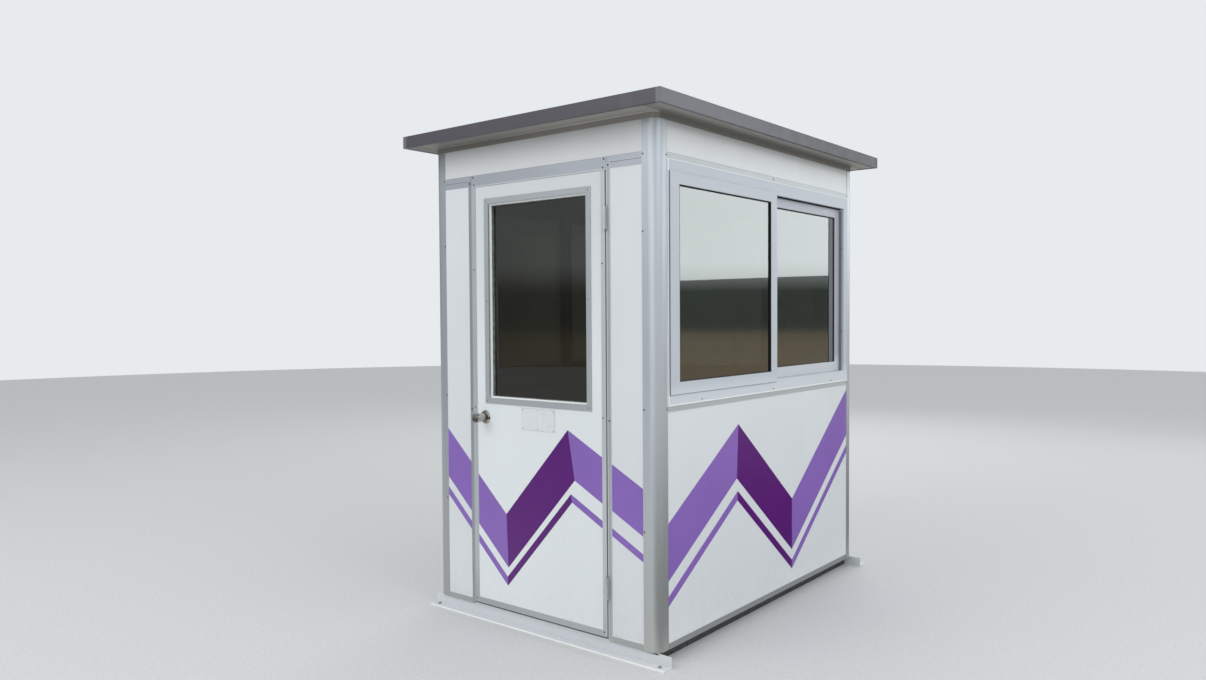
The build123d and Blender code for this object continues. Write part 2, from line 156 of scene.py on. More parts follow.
# Materials
class Nodes:
    """A node tree, with short calls for the nodes that the materials and the sky need."""

    def __init__(self, tree, coordinates):
        self.tree = tree
        self.place = self.new("TexCoord").outputs[coordinates]

    def new(self, kind):
        return self.tree.nodes.new(f"ShaderNode{kind}")

    def link(self, value, socket):
        """Sets a constant on the socket itself, and links an output."""
        if isinstance(value, (int, float, tuple)):
            socket.default_value = value
        else:
            self.tree.links.new(value, socket)

    def axis(self, letter):
        node = self.new("SeparateXYZ")
        self.link(self.place, node.inputs[0])
        return node.outputs[letter]

    def noise(self, scale, stretch=(1, 1, 1), detail=3):
        mapping = self.new("Mapping")
        mapping.inputs["Scale"].default_value = stretch
        self.link(self.place, mapping.inputs["Vector"])
        node = self.new("TexNoise")
        for key, number in (("Scale", scale), ("Detail", detail), ("Roughness", 0.55)):
            node.inputs[key].default_value = number
        self.link(mapping.outputs["Vector"], node.inputs["Vector"])
        return node.outputs["Fac"]

    def ramp(self, value, low, high, to_low=0.0, to_high=1.0):
        """A smooth step from one number at low to another at high."""
        node = self.new("MapRange")
        node.interpolation_type = "SMOOTHSTEP"
        for key, number in (("From Min", low), ("From Max", high), ("To Min", to_low), ("To Max", to_high)):
            node.inputs[key].default_value = number
        self.link(value, node.inputs["Value"])
        return node.outputs["Result"]

    def math(self, operation, first, second=0.0):
        node = self.new("Math")
        node.operation = operation
        self.link(first, node.inputs[0])
        self.link(second, node.inputs[1])
        return node.outputs["Value"]

    def mix(self, amount, first, second):
        """Two colours, of which the second shows by the amount."""
        node = self.new("Mix")
        node.data_type = "RGBA"
        for index, value in ((0, amount), (6, first), (7, second)):
            self.link(value, node.inputs[index])
        return node.outputs[2]

    def blend(self, amount, first, second):
        """Two shaders, of which the second shows by the amount."""
        node = self.new("MixShader")
        for index, value in enumerate((amount, first, second)):
            self.link(value, node.inputs[index])
        return node.outputs[0]

    def ray(self, kind):
        return self.new("LightPath").outputs[f"Is {kind} Ray"]


materials = {}


class Material(Nodes):
    """A material with a Principled shader, kept in the table above under its name."""

    def __init__(self, name):
        material = bpy.data.materials.new(name)
        material.use_nodes = True
        super().__init__(material.node_tree, "Object")
        self.shader = self.tree.nodes["Principled BSDF"]
        self.normal = None
        materials[name] = material

    def west_shade(self, amount):
        """Painted shade, more towards the left side of the booth, which gets less daylight."""
        return self.ramp(self.axis("X"), *WEST_TO_EAST, amount, 0)

    def sides(self, amount, face=LONG_WALL_FACE):
        """Only on the long walls, and on the parts of the roof beyond them."""
        return self.ramp(self.math("ABSOLUTE", self.axis("X")), face - 0.003, face + 0.003, 0, amount)

    def bump(self, height, distance, strength=1.0):
        node = self.new("Bump")
        node.inputs["Strength"].default_value = strength
        node.inputs["Distance"].default_value = distance
        self.link(height, node.inputs["Height"])
        if self.normal:
            self.link(self.normal, node.inputs["Normal"])
        self.normal = node.outputs["Normal"]
        self.link(self.normal, self.shader.inputs["Normal"])

    def paint(self, shade, roughness, metallic=0.0, wave=0.0):
        """Paint with a fine orange peel and a gloss that drifts a little. Wave is how far in metres its sheet
        is out of flat."""
        gloss = self.ramp(self.noise(30), 0.3, 0.7, roughness * 0.94, roughness * 1.08)
        self.bump(self.noise(420, detail=1), 0.0002, 0.3)
        if wave:
            self.bump(self.noise(2.2, detail=1), wave, 0.5)
        self.finish(shade, gloss, metallic)

    def finish(self, colour, roughness, metallic=0.0):
        for key, value in (("Base Color", colour), ("Roughness", roughness), ("Metallic", metallic)):
            self.link(value, self.shader.inputs[key])

    def surface(self, shader):
        """Puts another shader on the output."""
        self.link(shader, self.tree.nodes["Material Output"].inputs["Surface"])


def painted_sheet(name, colour, roughness, streaks=0.0, splash=0.0, eave_shade=0.0, crown_shade=0.0, head=0.0, sill_light=None,
                  west_shade=0.0, fascia=None, inner=0.0, wave=0.0, metallic=0.0):
    """Painted sheet, with slow colour drift and a faint grain. It may have these, each by its amount:

    streaks, splash: rain streaks, and splash marks low down
    eave_shade, crown_shade: painted shade under the roof, and right under its trim on the long walls
    head, west_shade, inner: painted shade towards the door's head, on the left side of the booth, and
    towards the wall on the overhang beyond the long walls
    sill_light: painted light, a paler tone low on a window: a height in metres, a second one and the
    paler tone below the first, which ends at the second
    fascia: painted light and shade, the tones of the roof's long sides at the door and at the rear
    wave: how far in metres the sheet is out of flat"""
    n = Material(name)
    shade = n.mix(n.ramp(n.noise(1.3, detail=2), 0.3, 0.7), colour, scaled(colour, 0.965))
    shade = n.mix(n.ramp(n.noise(260, detail=2), 0.4, 0.8, 0, 0.05), shade, scaled(colour, 0.85))
    if streaks:
        runs = n.ramp(n.noise(9, (1, 1, 0.05), detail=4), 0.52, 0.8, 0, streaks)
        shade = n.mix(runs, shade, RAIN_STREAK)
    if splash:
        low = n.ramp(n.axis("Z"), *SPLASH_HEIGHTS, splash, 0)
        marks = n.math("MULTIPLY", low, n.ramp(n.noise(34, detail=5), 0.35, 0.8))
        shade = n.mix(marks, shade, SPLASH_MARK)
    # Painted shade under the roof, mottled
    if eave_shade:
        high = n.ramp(n.axis("Z"), *EAVE_HEIGHTS, 0, eave_shade)
        roof_shade = n.math("MULTIPLY", high, n.ramp(n.noise(5, (1, 1, 0.3), detail=4), 0.2, 0.8, 0.75, 1))
        shade = n.mix(roof_shade, shade, EAVE_SHADE)
    # Painted shade right under the roof's trim, on the long walls
    if crown_shade:
        under = n.math("MULTIPLY", n.sides(1), n.ramp(n.axis("Z"), *CROWN_HEIGHTS, 0, crown_shade))
        shade = n.mix(under, shade, CROWN_SHADE)
    # Painted shade on the left side of the booth
    if west_shade:
        shade = n.mix(n.west_shade(west_shade), shade, scaled(colour, 0.35))
    # Painted shade towards the door's head
    if head:
        shade = n.mix(n.ramp(n.axis("Z"), *DOOR_HEAD_SHADE_HEIGHTS, 0, head), shade, scaled(colour, 0.4))
    # Painted light: a paler tone low on a window
    if sill_light:
        full, end, paler = sill_light
        shade = n.mix(n.ramp(n.axis("Z"), full, end, 1, 0), shade, paler)
    # Painted light and shade along the roof's long sides, lighter at the door and darker at the rear
    if fascia:
        shade = n.mix(n.sides(1, FASCIA_FACE), shade, n.mix(n.ramp(n.axis("Y"), *FASCIA_LENGTH), *fascia))
    # Painted shade on the overhang towards the long walls
    if inner:
        by_wall = n.ramp(n.math("ABSOLUTE", n.axis("X")), *OVERHANG, inner, 0)
        shade = n.mix(n.math("MULTIPLY", n.sides(1), by_wall), shade, scaled(colour, 0.3))
    n.paint(shade, roughness, metallic, wave)


def highlit_trim(name, low, high, split, roughness):
    """Painted trim whose upper bead has a painted highlight, a lighter tone than the band under it, and which
    has painted shade on the side walls and on the left."""
    n = Material(name)
    shade_tone = scaled(low, 0.45)
    # The bead's lighter tone is a painted highlight; the side walls and the left get painted shade
    shade = n.mix(n.ramp(n.axis("Z"), split - 0.0004, split + 0.0004), low, high)
    shade = n.mix(n.sides(0.7), shade, shade_tone)
    shade = n.mix(n.west_shade(0.5), shade, shade_tone)
    shade = n.mix(n.ramp(n.noise(5, (1, 1, 0.3), detail=4), 0.3, 0.8, 0, 0.25), shade, scaled(low, 0.8))
    n.paint(shade, roughness)


def extruded_metal(name, colour, run, roughness, metallic, foot, foot_reflection_heights=(0.1, 1.0),
                   west_shade=0.0, eave_shade=0.0, bed_reflection=0.0):
    """Satin anodised extrusion, with die lines along its run. Foot is a painted reflection of the ground: its
    duller colour near the ground, which ends over the foot_reflection_heights. The amounts west_shade and
    eave_shade are painted shade on the left side and under the roof, and bed_reflection is a painted
    reflection of dark ground low down on the right."""
    n = Material(name)
    stretch = tuple(1.5 if letter == run else 230 for letter in "XYZ")
    lines = n.noise(1.0, stretch, detail=2)
    shade = n.mix(n.ramp(n.noise(2.0, detail=2), 0.3, 0.7), colour, scaled(colour, 0.95))
    # A painted reflection of the ground: duller near the ground
    shade = n.mix(n.ramp(n.axis("Z"), *foot_reflection_heights, 1, 0), shade, foot)
    # Painted shade on the left side
    if west_shade:
        shade = n.mix(n.west_shade(west_shade), shade, scaled(colour, 0.5))
    # Painted shade under the roof
    if eave_shade:
        shade = n.mix(n.ramp(n.axis("Z"), *POST_EAVE_HEIGHTS, 0, eave_shade), shade, METAL_EAVE_SHADE)
    # A painted reflection of dark ground, low down on the right half of the posts
    if bed_reflection:
        low = n.ramp(n.axis("Z"), *POST_BED_REFLECTION_HEIGHTS, bed_reflection, 0)
        shade = n.mix(n.math("MULTIPLY", n.ramp(n.axis("X"), *POST_RIGHT_HALF), low), shade, METAL_BED_REFLECTION)
    shade = n.mix(n.ramp(lines, 0.4, 0.75, 0, 0.15), shade, scaled(colour, 0.6))
    scuffs = n.ramp(n.noise(24, detail=6), 0.66, 0.74, 0, 0.15)
    shade = n.mix(scuffs, shade, scaled(colour, 0.75))
    n.bump(lines, 0.0001, 0.4)
    n.finish(shade, n.ramp(lines, 0.2, 0.8, roughness * 0.9, roughness * 1.15), metallic)


def brushed_steel(name, colour, roughness, metallic=0.95):
    n = Material(name)
    grain = n.noise(1.0, (90, 900, 90), detail=2)
    shade = n.mix(n.ramp(grain, 0.35, 0.7, 0, 0.35), colour, scaled(colour, 0.7))
    n.bump(grain, 0.00005, 0.35)
    n.finish(shade, n.ramp(n.noise(60), 0.3, 0.7, roughness * 0.8, roughness * 1.3), metallic)


def rubber(name, colour, roughness=0.62):
    n = Material(name)
    shade = n.mix(n.ramp(n.noise(40), 0.35, 0.7), colour, scaled(colour, 1.7))
    n.bump(n.noise(500, detail=1), 0.0002, 0.5)
    n.finish(shade, roughness)


def vinyl_film(name, colour):
    """Cut self-adhesive film with a satin face that follows the sheet under it."""
    n = Material(name)
    shade = n.mix(n.ramp(n.noise(3), 0.3, 0.7), colour, scaled(colour, 0.93))
    shade = n.mix(n.ramp(n.noise(300, detail=2), 0.4, 0.8, 0, 0.1), shade, scaled(colour, 1.15))
    n.bump(n.noise(500, detail=1), 0.0001, 0.2)
    n.bump(n.noise(2.2, detail=1), 0.001, 0.5)
    n.finish(shade, n.ramp(n.noise(25), 0.3, 0.7, 0.3, 0.36))


def pane(name, tint, ior):
    """Glass with faint smears. Shadow rays see only its tint, so daylight reaches the cabin."""
    n = Material(name)
    n.bump(n.noise(1.4, detail=1), 0.0006, 0.3)
    n.finish(tint, n.ramp(n.noise(4, (1, 1, 0.4), detail=5), 0.5, 0.85, 0.004, 0.05))
    n.shader.inputs["Transmission Weight"].default_value = 1
    n.shader.inputs["IOR"].default_value = ior
    clear = n.new("BsdfTransparent")
    clear.inputs["Color"].default_value = tint
    n.surface(n.blend(n.ray("Shadow"), n.shader.outputs[0], clear.outputs[0]))


def tread_plate(name, colour):
    """Floor plate with crossed raised lozenges."""
    n = Material(name)
    x, y = n.axis("X"), n.axis("Y")
    pitch = 0.025

    def from_middle(place, shift):
        """How far a place is from the middle of its repeat, as a share of the pitch."""
        share = n.math("FRACT", n.math("ADD", n.math("DIVIDE", place, pitch), shift))
        return n.math("ABSOLUTE", n.math("SUBTRACT", share, 0.5))

    heights = []
    for sign, shift in ((1, 0.0), (-1, 0.5)):
        slant = n.math("MULTIPLY", y, sign)
        along = from_middle(n.math("ADD", x, slant), shift)
        across = from_middle(n.math("SUBTRACT", x, slant), shift)
        heights.append(n.ramp(n.math("ADD", along, n.math("MULTIPLY", across, 3.2)), 0.30, 0.38, 1, 0))
    raised = n.math("MAXIMUM", *heights)
    shade = n.mix(raised, scaled(colour, 0.8), colour)
    dirt = n.ramp(n.noise(6, detail=5), 0.45, 0.8, 0, 0.5)
    shade = n.mix(dirt, shade, FLOOR_DIRT)
    n.bump(raised, 0.0015, 1)
    n.finish(shade, n.ramp(dirt, 0, 0.5, 0.34, 0.7), 0.85)


def make_materials():
    # Panels and other painted sheet
    painted_sheet("white_panel", srgb(224, 228, 231), 0.32, streaks=0.05, splash=0.1, eave_shade=0.5, wave=0.001)
    # The top panels: a darker copy of the panel paint, painted shade under the roof
    painted_sheet("top_shaded_paint", srgb(216, 218, 219), 0.36, streaks=0.05, eave_shade=0.4, crown_shade=0.9, wave=0.001)
    # The leaf: head gives it painted shade towards the door's head
    painted_sheet("leaf_paint", srgb(232, 237, 239), 0.3, streaks=0.04, splash=0.08, head=0.26, wave=0.001)
    painted_sheet("white_metal", srgb(217, 221, 224), 0.36, splash=0.05)
    # Aluminium: frame_x, frame_y and frame_z differ in the way they run. The colour given after roughness and
    # metallic is a painted reflection of the ground near the ground
    extruded_metal("post_aluminium", srgb(206, 213, 221), "Z", 0.38, 0.5, srgb(188, 191, 189),
                   west_shade=0.45, eave_shade=0.4, bed_reflection=0.25)
    extruded_metal("frame_x", srgb(192, 197, 206), "X", 0.4, 0.5, srgb(178, 182, 182), (0.3, 1.5))
    extruded_metal("frame_y", srgb(199, 203, 206), "Y", 0.45, 0.35, srgb(150, 154, 158), (0.1, 0.9))
    extruded_metal("frame_z", srgb(190, 195, 201), "Z", 0.4, 0.5, srgb(180, 183, 181), (0.1, 0.9), west_shade=0.45)
    extruded_metal("edge_aluminium", srgb(204, 209, 215), "Z", 0.42, 0.35, srgb(184, 189, 193), (0.08, 0.3),
                   west_shade=0.25)
    # Window paint: the sill tone is painted light; the rear sash is a darker copy, painted shade
    painted_sheet("window_aluminium", srgb(192, 198, 206), 0.42, sill_light=(1.12, 1.2, srgb(209, 215, 221)))
    painted_sheet("rear_sash_shaded_aluminium", srgb(179, 182, 192), 0.42, sill_light=(1.195, 1.26, srgb(202, 207, 214)))
    painted_sheet("glazing_metal", srgb(187, 192, 197), 0.36, metallic=0.35)
    painted_sheet("white_vinyl", srgb(250, 252, 251), 0.4)
    # Roof
    # Fascia: painted light at the door and painted shade at the rear on the long sides. Soffit: painted shade
    # on the left and towards the long walls
    painted_sheet("fascia_metal", srgb(82, 79, 88), 0.4, streaks=0.12, wave=0.0012,
                  fascia=(srgb(115, 113, 121), srgb(56, 53, 61)))
    painted_sheet("soffit_metal", srgb(166, 163, 157), 0.5, streaks=0.1, west_shade=0.5, inner=0.5)
    # Crown trim: a painted highlight on its bead, painted shade on the side walls and on the left
    highlit_trim("crown_metal", srgb(138, 135, 128), srgb(190, 186, 180), 2.3214, 0.5)
    # Glass. An index this high mirrors as brightly as coated glass does
    pane("window_glass", srgb(104, 110, 104), 2.9)
    pane("door_glass", srgb(98, 95, 86), 2.1)
    # Hardware and floor
    brushed_steel("hardware_steel", srgb(181, 178, 174), 0.1, 1.0)
    brushed_steel("hinge_steel", srgb(206, 208, 208), 0.4, 0.45)
    painted_sheet("base_steel", srgb(50, 50, 52), 0.6, splash=0.15)
    tread_plate("floor_metal", srgb(186, 187, 189))
    # Seals, brushes and thin strips, among them painted highlights, painted light and painted shade
    rubber("black_rubber", srgb(20, 21, 23))
    rubber("grey_rubber", srgb(112, 115, 119))
    rubber("grey_brush", srgb(62, 63, 65), 0.8)
    # A brush whose dark also paints the head's shadow over the rear sash
    rubber("dark_brush_and_shadow", srgb(30, 28, 28), 0.9)
    painted_sheet("sealant", srgb(240, 242, 241), 0.4)
    rubber("gasket_grey", srgb(112, 118, 114))
    # Painted highlights and light: the edge, toe and lip whites and the pale seal. Painted shade: the reveal
    # and lip greys
    painted_sheet("edge_highlight", srgb(216, 221, 226), 0.36, metallic=0.2)
    painted_sheet("reveal_shade_grey", srgb(101, 106, 112), 0.5)
    painted_sheet("seal_grey", srgb(150, 153, 157), 0.6)
    painted_sheet("pale_lit_seal", srgb(214, 218, 222), 0.5)
    painted_sheet("toe_highlight", srgb(252, 252, 250), 0.34)
    painted_sheet("lip_highlight_white", srgb(234, 238, 242), 0.4)
    painted_sheet("lip_shade_grey", srgb(124, 129, 138), 0.5)
    # Screws, film and the name plate
    brushed_steel("screw_steel", srgb(88, 88, 90), 0.3)
    brushed_steel("dark_screw", srgb(58, 58, 60), 0.35, 0.6)
    vinyl_film("deep_purple", srgb(90, 6, 118))
    vinyl_film("violet", srgb(139, 103, 188))
    painted_sheet("plate", srgb(226, 229, 231), 0.28)
    brushed_steel("galvanised", srgb(164, 167, 170), 0.4)


MATERIAL_OF_NODE = {"door_glass": "door_glass", "door_leaf": "leaf_paint",
                    "door_edge_channel": "edge_aluminium", "hinge_frame_leaves": "hinge_steel",
                    "hinge_door_leaves": "hinge_steel", "top_panels": "top_shaded_paint",
                    "crown_trim": "crown_metal", "left_sash_rear": "rear_sash_shaded_aluminium",
                    "right_sash_rear": "rear_sash_shaded_aluminium"}
RUN_OF_NODE = {"front_bottom_rails": "x", "front_top_rails": "x", "front_header_rail": "x", "rear_rails": "x",
               "left_rails": "y", "right_rails": "y", "door_head": "x"}


def dress_nodes():
    """Puts a material in every slot of the CAD's own objects. The frame's uprights have die lines along Z."""
    slots = {part["node"]: part["material_slot"] for part in frame["record"]["subparts"]}
    for name, node in frame["nodes"].items():
        slot = slots[name]
        if slot == "frame_aluminium":
            slot = "frame_" + RUN_OF_NODE.get(name, "z")
        slot = MATERIAL_OF_NODE.get(name, slot)
        for place in node.material_slots:
            place.material = materials[slot]


# Pieces. Each is drawn in millimetres as if on the front wall: x along it, y into the cabin, z up.
def carried(wall):
    """The turn and shift from the front wall's place to another wall's, and from millimetres to metres."""
    turns = {"front": 0, "right": 90, "rear": 180, "left": 90}
    depth = {"front": Vector((0, -HALF_DEPTH, 0)), "rear": Vector((0, HALF_DEPTH, 0))}
    shift = depth.get(wall, Vector((HALF_WIDTH, 0, 0)))
    matrix = Matrix.Translation(shift) @ Matrix.Rotation(math.radians(turns[wall]), 4, "Z")
    if wall == "left":
        matrix = Matrix.Scale(-1, 4, Vector((1, 0, 0))) @ matrix
    return Matrix.Scale(0.001, 4) @ matrix


class Piece:
    """A mesh collected from simple shapes, which becomes one object that rides on a body."""

    def __init__(self, name, material, body="booth", smooth=False):
        self.name, self.material, self.body, self.smooth = name, material, body, smooth
        self.mesh = bmesh.new()

    def take(self, shape, wall):
        matrix = carried(wall)
        shape.transform(matrix)
        if matrix.determinant() < 0:
            bmesh.ops.reverse_faces(shape, faces=shape.faces[:])
        kept = bpy.data.meshes.new("part")
        shape.to_mesh(kept)
        shape.free()
        self.mesh.from_mesh(kept)
        bpy.data.meshes.remove(kept)

    def box(self, lo, hi, wall="front", bevel=0.0):
        shape = bmesh.new()
        size = [b - a for a, b in zip(lo, hi)]
        middle = [(a + b) / 2 for a, b in zip(lo, hi)]
        matrix = Matrix.Translation(middle) @ Matrix.Diagonal((*size, 1))
        bmesh.ops.create_cube(shape, size=1, matrix=matrix)
        if bevel:
            bmesh.ops.bevel(shape, geom=shape.edges[:], offset=bevel, segments=2, affect="EDGES", profile=0.5)
        self.take(shape, wall)

    def prism(self, outline, y0, y1, wall="front", bevel=0.0):
        """A flat shape in x and z with its face at depth y0 and its back at y1."""
        shape = bmesh.new()
        front = [shape.verts.new((x, y0, z)) for x, z in outline]
        back = [shape.verts.new((x, y1, z)) for x, z in outline]
        face = shape.faces.new(front)
        shape.faces.new(back[::-1])
        for index in range(len(outline)):
            after = (index + 1) % len(outline)
            shape.faces.new((front[after], front[index], back[index], back[after]))
        bmesh.ops.recalc_face_normals(shape, faces=shape.faces[:])
        if bevel:
            bmesh.ops.bevel(shape, geom=list(face.edges), offset=bevel, segments=1, affect="EDGES")
        self.take(shape, wall)

    def ring(self, rect, width, y0, y1, wall="front"):
        """Four mitred strips that line the inside of a rectangle."""
        x0, x1, z0, z1 = rect
        outer = corners(x0, x1, z0, z1)
        inner = corners(x0 + width, x1 - width, z0 + width, z1 - width)
        for index in range(4):
            after = (index + 1) % 4
            self.prism([outer[index], outer[after], inner[after], inner[index]], y0, y1, wall)

    def turned(self, profile, centre, wall="front", steps=20, outwards=(0, -1, 0)):
        """A profile of radius and height, turned about an axis that points outwards from its centre."""
        shape = bmesh.new()
        rings = []
        for radius, height in profile:
            if radius == 0:
                rings.append([shape.verts.new((0, 0, height))])
                continue
            ring = []
            for index in range(steps):
                angle = 2 * math.pi * index / steps
                ring.append(shape.verts.new((radius * math.cos(angle), radius * math.sin(angle), height)))
            rings.append(ring)
        for low, high in zip(rings, rings[1:]):
            for index in range(steps):
                after = (index + 1) % steps
                around = (low[index % len(low)], low[after % len(low)],
                          high[after % len(high)], high[index % len(high)])
                shape.faces.new(list(dict.fromkeys(around)))
        if len(rings[0]) > 1:
            shape.faces.new(rings[0][::-1])
        turn = Vector(outwards).to_track_quat("Z", "Y").to_matrix().to_4x4()
        shape.transform(Matrix.Translation(centre) @ turn)
        self.take(shape, wall)

    def screw(self, centre, wall="front", radius=4.0, height=2.2, outwards=(0, -1, 0)):
        """A pan head with a small sink in its middle."""
        profile = [(radius, 0), (radius, height * 0.3), (radius * 0.85, height * 0.75),
                   (radius * 0.5, height), (radius * 0.28, height), (radius * 0.16, height * 0.45),
                   (0, height * 0.4)]
        self.turned(profile, centre, wall, steps=12, outwards=outwards)

    def done(self):
        mesh = bpy.data.meshes.new(self.name)
        self.mesh.to_mesh(mesh)
        self.mesh.free()
        if self.smooth:
            for face in mesh.polygons:
                face.use_smooth = True
        mesh.materials.append(materials[self.material])
        piece = bpy.data.objects.new(self.name, mesh)
        bpy.context.collection.objects.link(piece)
        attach(piece, self.body)


def corners(x0, x1, z0, z1):
    """A rectangle's corners, from the lower left one round."""
    return [(x0, z0), (x1, z0), (x1, z1), (x0, z1)]


def on_side(side, near, far):
    """A stretch on the left or the right of the middle, from its lower end to its upper one."""
    return sorted((side * near, side * far))


def clipped(outline, rect):
    """A convex outline cut to a rectangle."""
    x0, x1, z0, z1 = rect
    for axis, limit, sign in ((0, x0, 1), (0, x1, -1), (1, z0, 1), (1, z1, -1)):
        kept = []
        for index, point in enumerate(outline):
            before = outline[index - 1]
            inside, was_inside = sign * (point[axis] - limit) >= 0, sign * (before[axis] - limit) >= 0
            if inside != was_inside:
                share = (limit - before[axis]) / (point[axis] - before[axis])
                kept.append(tuple(a + share * (b - a) for a, b in zip(before, point)))
            if inside:
                kept.append(point)
        outline = kept
        if len(outline) < 3:
            return []
    return outline


# Film on the panels: straight-edged folded bands, each with a width and a drop from its design's line
FRONT_LINE = [(-760, 930), (-190, 400), (215, 850), (760, 560)]
SIDE_LINE = [(-1050, 380), (-330, 830), (230, 380), (1050, 1010)]
BANDS = {"front": [(180, 0, FRONT_LINE), (30, -195, FRONT_LINE)],
         "side": [(210, 0, SIDE_LINE), (36, -212, SIDE_LINE)]}
TONES = ("violet", "deep_purple", "violet")
FILM_MARGIN = 1.5
FILM_THICKNESS = 0.35


def mitred_band(points, width, drop):
    """The straight lengths of a folded band, which meet edge to edge at each fold."""
    points = [Vector((x, z + drop)) for x, z in points]
    runs = [(b - a).normalized() for a, b in zip(points, points[1:])]
    sides = [Vector((-run.y, run.x)) for run in runs]
    offsets = [sides[0]]
    for before, after in zip(sides, sides[1:]):
        offsets.append((before + after) / (1 + before.dot(after)))
    offsets.append(sides[-1])
    upper = [point + offset * width / 2 for point, offset in zip(points, offsets)]
    lower = [point - offset * width / 2 for point, offset in zip(points, offsets)]
    return [[tuple(p) for p in (lower[i], lower[i + 1], upper[i + 1], upper[i])] for i in range(len(runs))]


def add_film():
    foot = WALL_FOOT + RAIL + FILM_MARGIN
    front_z = (foot, HEAD_LINE - RAIL - FILM_MARGIN)
    side_rect = (-SIDE_EDGE + FILM_MARGIN, SIDE_EDGE - FILM_MARGIN, foot, SILL_LINE - FILM_MARGIN)
    panel = (JAMB_OUTSIDE + FILM_MARGIN, FRONT_EDGE - FILM_MARGIN)
    leaf_rect = (LATCH_FLANGE - LEAF_HALF + FILM_MARGIN, LEAF_HALF - HINGE_FLANGE - FILM_MARGIN,
                 LEAF_FOOT + FOOT_FLANGE + FILM_MARGIN, DOOR_LIGHT[2] - GLAZING_FLANGE - 6)
    places = [
        ("front_left", "booth", "front", "front", (-panel[1], -panel[0], *front_z), PANEL_SINK),
        ("front_right", "booth", "front", "front", (*panel, *front_z), PANEL_SINK),
        ("leaf", "door", "front", "front", leaf_rect, LEAF_SKIN),
        ("right", "booth", "right", "side", side_rect, PANEL_SINK),
        ("left", "booth", "left", "side", side_rect, PANEL_SINK),
    ]
    for name, body, wall, design, rect, face in places:
        for tone in ("deep_purple", "violet"):
            piece = Piece(f"film_{name}_{tone}", tone, body)
            for width, drop, line in BANDS[design]:
                for colour, outline in zip(TONES, mitred_band(line, width, drop)):
                    outline = clipped(outline, rect) if colour == tone else []
                    if outline:
                        piece.prism(outline, face - FILM_THICKNESS, face + 0.1, wall)
            if piece.mesh.faces:
                piece.done()


def add_window_trims():
    """Gaskets, brushes and thin strips round the sashes, some of them painted highlights and painted
    shade, and sealant along each frame's foot and head.
    """
    gasket = Piece("window_gaskets", "black_rubber")
    sealant = Piece("window_sealant", "sealant")
    brush = Piece("window_brush_and_shadow", "dark_brush_and_shadow")
    reveal_shade_strips = Piece("window_reveal_shade", "reveal_shade_grey")
    lip_highlights = Piece("window_edge_highlights", "lip_highlight_white")
    edges = Piece("sash_edge_shade", "lip_shade_grey")
    rear_pane = REAR_SASH_FACE + GLASS_FROM_FACE
    over_frame = WINDOW_FACE + 0.2
    _, far_end, pane_foot, pane_top = REAR_LIGHT
    near_end, sash_end, sash_foot, sash_top = NEAR_SASH
    for wall in ("right", "left"):
        gasket.ring(FRONT_LIGHT, 2.4, SASH_FACE + 1.0, SASH_FACE + GLASS_FROM_FACE, wall)
        gasket.ring(REAR_LIGHT, 2.0, REAR_SASH_FACE + 3.5, rear_pane, wall)
        for (x0, x1, _, z1), face in ((FRONT_LIGHT, SASH_FACE), (REAR_LIGHT, REAR_SASH_FACE)):
            gasket.box((x0 + 0.5, face + 2.5, z1 - 4.2), (x1 - 0.5, face + GLASS_FROM_FACE, z1 - 0.5), wall)
        # Grey and black strips of painted shade, for the frame's far reveal, at the far end of the rear pane
        reveal_shade_strips.box((far_end - 62, REAR_SASH_FACE + 6.5, pane_foot + 0.5),
                  (far_end - 7, rear_pane, pane_top - 4.5), wall, 0.4)
        gasket.box((far_end - 15, REAR_SASH_FACE + 5, pane_foot + 0.5),
                   (far_end - 1, rear_pane, pane_top - 0.5), wall)
        # The front sash's near edge with a grey strip of painted shade on its side, and a black strip of
        # painted shadow under the sash
        edges.box((near_end - 0.5, SASH_FACE + 1.5, sash_foot + 2),
                  (near_end + 0.2, over_frame, sash_top - 2), wall)
        gasket.box((near_end + 2, WINDOW_FACE - 2, sash_foot - 1.3),
                   (sash_end - 0.4, over_frame, sash_foot + 0.3), wall)
        # White strips of painted highlight along the frame's near edge and beside it on the post
        lip_highlights.box((-SIDE_EDGE + 0.2, WINDOW_FACE - 0.3, WINDOW_FOOT + 6),
                 (near_end - 0.4, over_frame, HEAD_LINE - 2), wall, 0.1)
        lip_highlights.box((-SIDE_EDGE - 3, -0.4, WINDOW_FOOT), (-SIDE_EDGE + 0.1, 0.2, HEAD_LINE), wall, 0.15)
        # The brush over the rear sash, whose dark also paints the head's shadow, and a grey lining of painted
        # shade in the frame's far end
        brush.box((2, REAR_SASH_FACE - 9, OPENING_Z[1] - 6),
                  (OPENING_X - 1, REAR_SASH_FACE - 1, OPENING_Z[1] + 0.5), wall, 0.8)
        edges.box((OPENING_X - 1.2, SASH_FACE + 20, OPENING_Z[0] + 3),
                  (OPENING_X + 0.3, REAR_SASH_FACE - 1, OPENING_Z[1] - 15), wall, 0.4)
        sealant.prism(corners(-SIDE_EDGE, SIDE_EDGE, WINDOW_FOOT - 1.8, WINDOW_FOOT + 4.4),
                      WINDOW_FACE - 1.4, WINDOW_FACE + 4, wall, bevel=1.3)
        sealant.prism(corners(-SIDE_EDGE, SIDE_EDGE, HEAD_LINE - 1.5, HEAD_LINE + 1.2),
                      WINDOW_FACE - 0.4, WINDOW_FACE + 4, wall, bevel=0.3)
    gasket.ring(REAR_WALL_LIGHT, 1.5, REAR_SASH_FACE - 6, REAR_SASH_FACE, "rear")
    for piece in (gasket, sealant, brush, reveal_shade_strips, lip_highlights, edges):
        piece.done()


# Heights of the door's seals, hinges and strike plate
SEAL_FOOT = 64
HINGES = ((229, 337), (1847, 1955))
STRIKE_HALF = 35


def beside_hinges(foot, top, gap=0):
    """The three stretches from foot to top that the hinges leave, each short of them by the gap."""
    (low_foot, low_top), (high_foot, high_top) = HINGES
    return ((foot, low_foot - gap), (low_top + gap, high_foot - gap), (high_top + gap, top))


